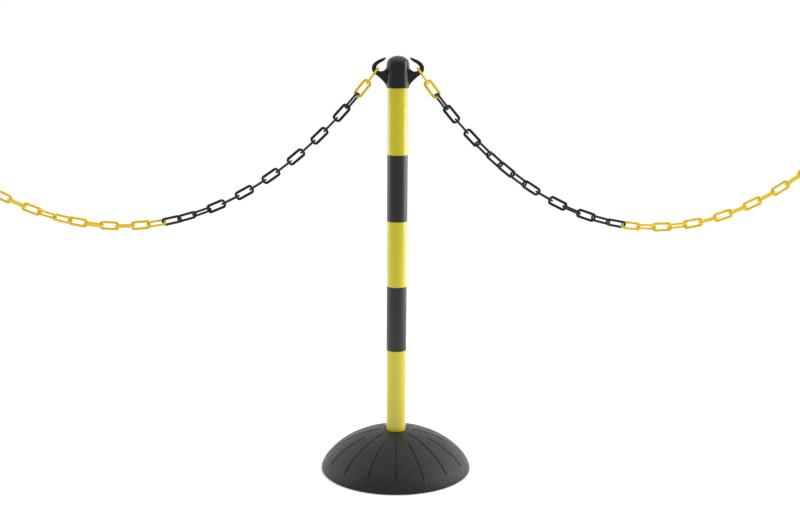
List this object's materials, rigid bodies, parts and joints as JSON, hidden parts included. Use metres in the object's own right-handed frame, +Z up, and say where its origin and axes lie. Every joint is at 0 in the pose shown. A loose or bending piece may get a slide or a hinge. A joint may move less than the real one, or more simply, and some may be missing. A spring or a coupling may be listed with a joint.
{
  "type": "chain stanchion",
  "caption": "Free-standing barrier post with a weighted dome base, striped tube, hooked head and a swag of plastic chain on each side.",
  "frame": {"origin": "centre of the resting face, on the floor under the middle of the base", "axes": "+Z up along the post, +X along the line of posts and through both hooks, -Y towards the viewer"},
  "size_m": [1.6783, 0.305, 0.84],
  "materials": {
    "base_moulding": "matte",
    "concrete": "matte",
    "cover_plastic": "matte",
    "zinc_steel": "satin",
    "pad_rubber": "matte",
    "socket_plastic": "matte",
    "yellow_tube": "gloss",
    "black_film": "satin",
    "black_moulding": "gloss",
    "yellow_chain": "satin",
    "black_chain": "satin"
  },
  "bodies": {
    "base": {"base_shell": "base_moulding", "ballast": "concrete", "base_cover": "cover_plastic", "cover_screws": "zinc_steel", "anti_slip_pads": "pad_rubber", "post_socket": "socket_plastic"},
    "post": {"post_tube": "yellow_tube", "foot_plug": "socket_plastic", "lower_band": "black_film", "upper_band": "black_film"},
    "head": {"hook_head": "black_moulding"},
    "right_hook_link": {"right_hook_link": "yellow_chain"},
    "right_swag": {"right_near_link": "yellow_chain", "right_black_links_1": "black_chain", "right_black_links_2": "black_chain", "right_black_links_3": "black_chain", "right_yellow_links_1": "yellow_chain", "right_yellow_links_2": "yellow_chain", "right_yellow_links_3": "yellow_chain", "right_end_link": "yellow_chain"},
    "left_hook_link": {"left_hook_link": "yellow_chain"},
    "left_swag": {"left_near_link": "yellow_chain", "left_black_links_1": "black_chain", "left_black_links_2": "black_chain", "left_black_links_3": "black_chain", "left_yellow_links_1": "yellow_chain", "left_yellow_links_2": "yellow_chain", "left_yellow_links_3": "yellow_chain", "left_end_link": "yellow_chain"}
  },
  "joints": [
    {"name": "post_lift", "type": "slide", "parent": "base", "child": "post", "axis": [0, 0, 1], "range_m": [0, 0.09]},
    {"name": "head_turn", "type": "hinge", "parent": "post", "child": "head", "pos_m": [0, 0, 0.778], "axis": [0, 0, 1], "continuous": true},
    {"name": "right_link_tilt", "type": "hinge", "parent": "head", "child": "right_hook_link", "pos_m": [0.0398, 0, 0.8136], "axis": [0.974, 0, -0.2266], "range_deg": [-10, 10]},
    {"name": "right_swag_swing", "type": "hinge", "parent": "right_hook_link", "child": "right_swag", "pos_m": [0.05755, 0, 0.78843], "axis": [0.9796, 0, -0.2008], "range_deg": [-25, 25]},
    {"name": "left_link_tilt", "type": "hinge", "parent": "head", "child": "left_hook_link", "pos_m": [-0.0398, 0, 0.8136], "axis": [-0.9671, 0, -0.2546], "range_deg": [-10, 10]},
    {"name": "left_swag_swing", "type": "hinge", "parent": "left_hook_link", "child": "left_swag", "pos_m": [-0.05884, 0, 0.78876], "axis": [-0.9728, 0, -0.2316], "range_deg": [-25, 25]}
  ]
}
